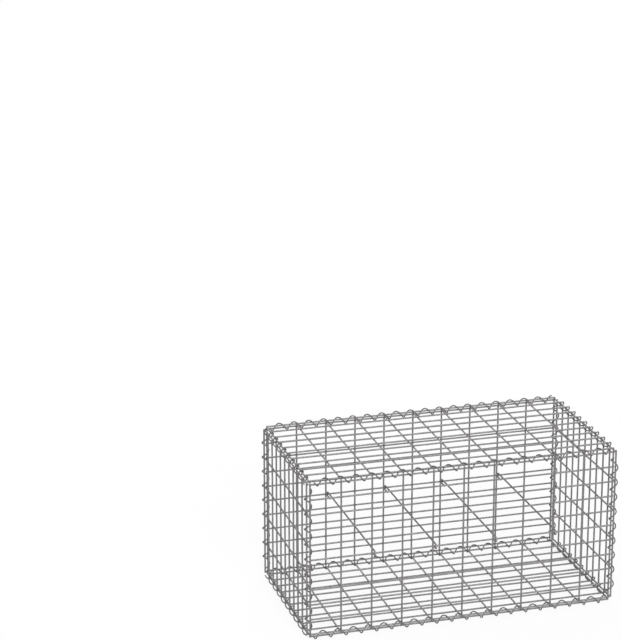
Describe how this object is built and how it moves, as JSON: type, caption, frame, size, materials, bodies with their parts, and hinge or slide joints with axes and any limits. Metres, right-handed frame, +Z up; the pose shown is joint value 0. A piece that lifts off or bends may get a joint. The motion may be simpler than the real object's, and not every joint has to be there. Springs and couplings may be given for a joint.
{
  "type": "gabion basket",
  "caption": "Empty box gabion of welded wire mesh panels, laced along every edge with spiral binders and braced across with hooked tie wires, for stone-filled walls.",
  "frame": {"origin": "on the ground, under the middle of the basket", "axes": "+X along the length towards the right end, -Y towards the front, +Z up"},
  "size_m": [1.038, 0.5326, 0.5365],
  "materials": {
    "mesh_zinc": "hot-dip galvanised, satin grey",
    "spiral_zinc": "galvanised spring wire, satin grey",
    "tie_zinc": "galvanised wire, satin grey"
  },
  "bodies": {
    "root": {"base_panel": "mesh_zinc", "lid_panel": "mesh_zinc", "front_panel": "mesh_zinc", "back_panel": "mesh_zinc", "left_end_panel": "mesh_zinc", "right_end_panel": "mesh_zinc", "spiral_front_bottom": "spiral_zinc", "spiral_front_top": "spiral_zinc", "spiral_back_bottom": "spiral_zinc", "spiral_back_top": "spiral_zinc", "spiral_left_front": "spiral_zinc", "spiral_left_back": "spiral_zinc", "spiral_right_front": "spiral_zinc", "spiral_right_back": "spiral_zinc", "spiral_left_bottom": "spiral_zinc", "spiral_left_top": "spiral_zinc", "spiral_right_bottom": "spiral_zinc", "spiral_right_top": "spiral_zinc", "tie_1": "tie_zinc", "tie_2": "tie_zinc", "tie_3": "tie_zinc", "tie_4": "tie_zinc"}
  },
  "joints": []
}
